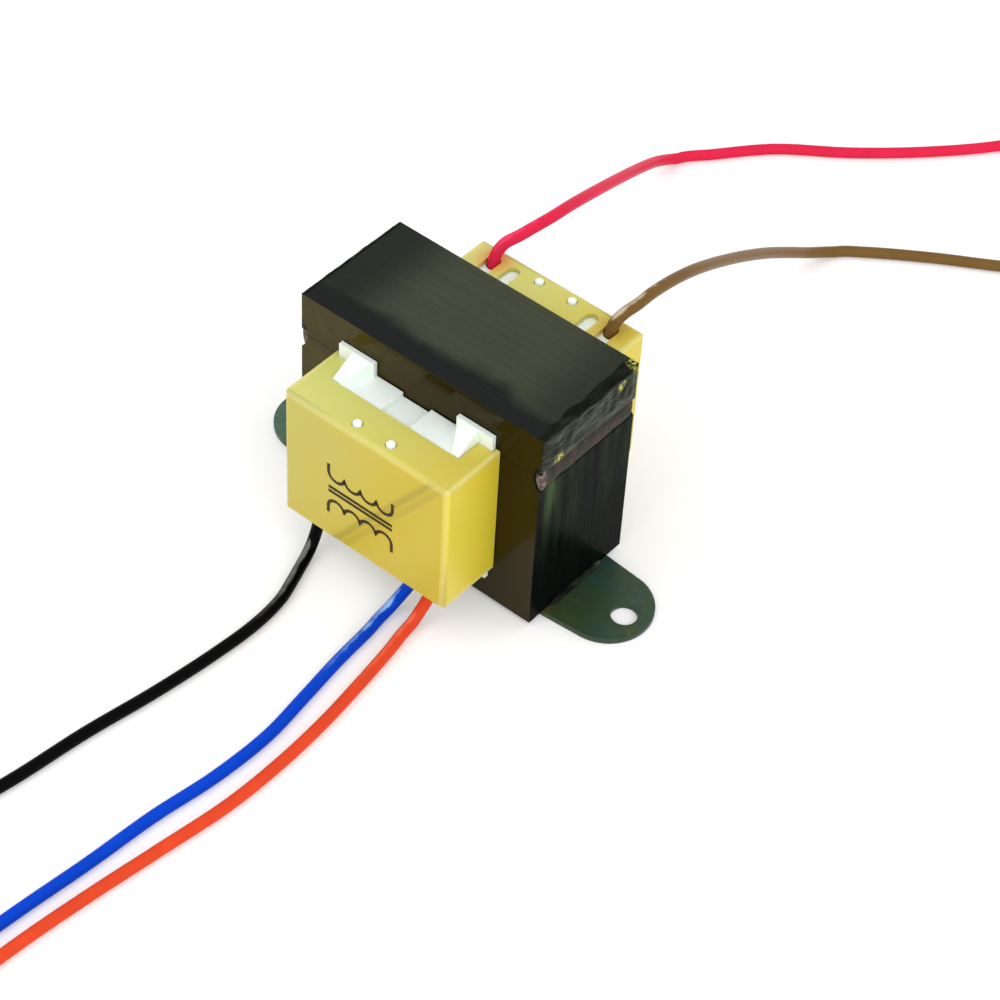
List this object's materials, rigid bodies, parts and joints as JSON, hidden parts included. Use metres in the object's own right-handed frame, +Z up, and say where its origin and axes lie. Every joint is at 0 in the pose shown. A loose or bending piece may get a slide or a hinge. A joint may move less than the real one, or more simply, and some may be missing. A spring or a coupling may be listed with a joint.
{
  "type": "laminated chassis transformer",
  "caption": "Small welded laminated-core transformer on a flat foot plate, with a bobbin coil under clip-on end covers and flying leads; it steps mains voltage down inside equipment.",
  "frame": {"origin": "on the underside of the mounting plate, below the middle of the core; the free leads are left out of the claim", "axes": "+X runs along the plate from ear to ear, -Y is the side where the three secondary leads come out, +Z is up from the surface that the plate is bolted to"},
  "size_m": [0.1061, 0.2988, 0.041],
  "materials": {
    "silicon_steel": "varnished stacked electrical steel, satin",
    "weld_bead": "varnished weld metal",
    "green_passivated_steel": "green chromate passivation on zinc",
    "white_nylon": "moulded natural white nylon",
    "copper_wire": "enamelled copper wire",
    "polyester_tape": "yellow polyester tape",
    "amber_cover": "moulded translucent yellow plastic, glossy",
    "splice_sleeve": "insulating sleeve",
    "red_pvc": "extruded PVC insulation",
    "brown_pvc": "extruded PVC insulation",
    "black_pvc": "extruded PVC insulation",
    "blue_pvc": "extruded PVC insulation",
    "orange_pvc": "extruded PVC insulation"
  },
  "bodies": {
    "root": {"mounting_plate": "green_passivated_steel", "foot_welds": "weld_bead", "e_laminations": "silicon_steel", "i_laminations": "silicon_steel", "left_joint_weld": "weld_bead", "right_joint_weld": "weld_bead", "bobbin": "white_nylon", "primary_winding": "copper_wire", "secondary_winding": "copper_wire", "primary_tape": "polyester_tape", "secondary_tape": "polyester_tape", "front_cover": "amber_cover", "rear_cover": "amber_cover", "red_splice": "splice_sleeve", "brown_splice": "splice_sleeve", "black_splice": "splice_sleeve", "blue_splice": "splice_sleeve", "orange_splice": "splice_sleeve", "red_lead": "red_pvc", "brown_lead": "brown_pvc", "black_lead": "black_pvc", "blue_lead": "blue_pvc", "orange_lead": "orange_pvc", "red_lead_coil": "red_pvc", "brown_lead_coil": "brown_pvc", "black_lead_coil": "black_pvc", "blue_lead_coil": "blue_pvc", "orange_lead_coil": "orange_pvc"}
  },
  "joints": []
}
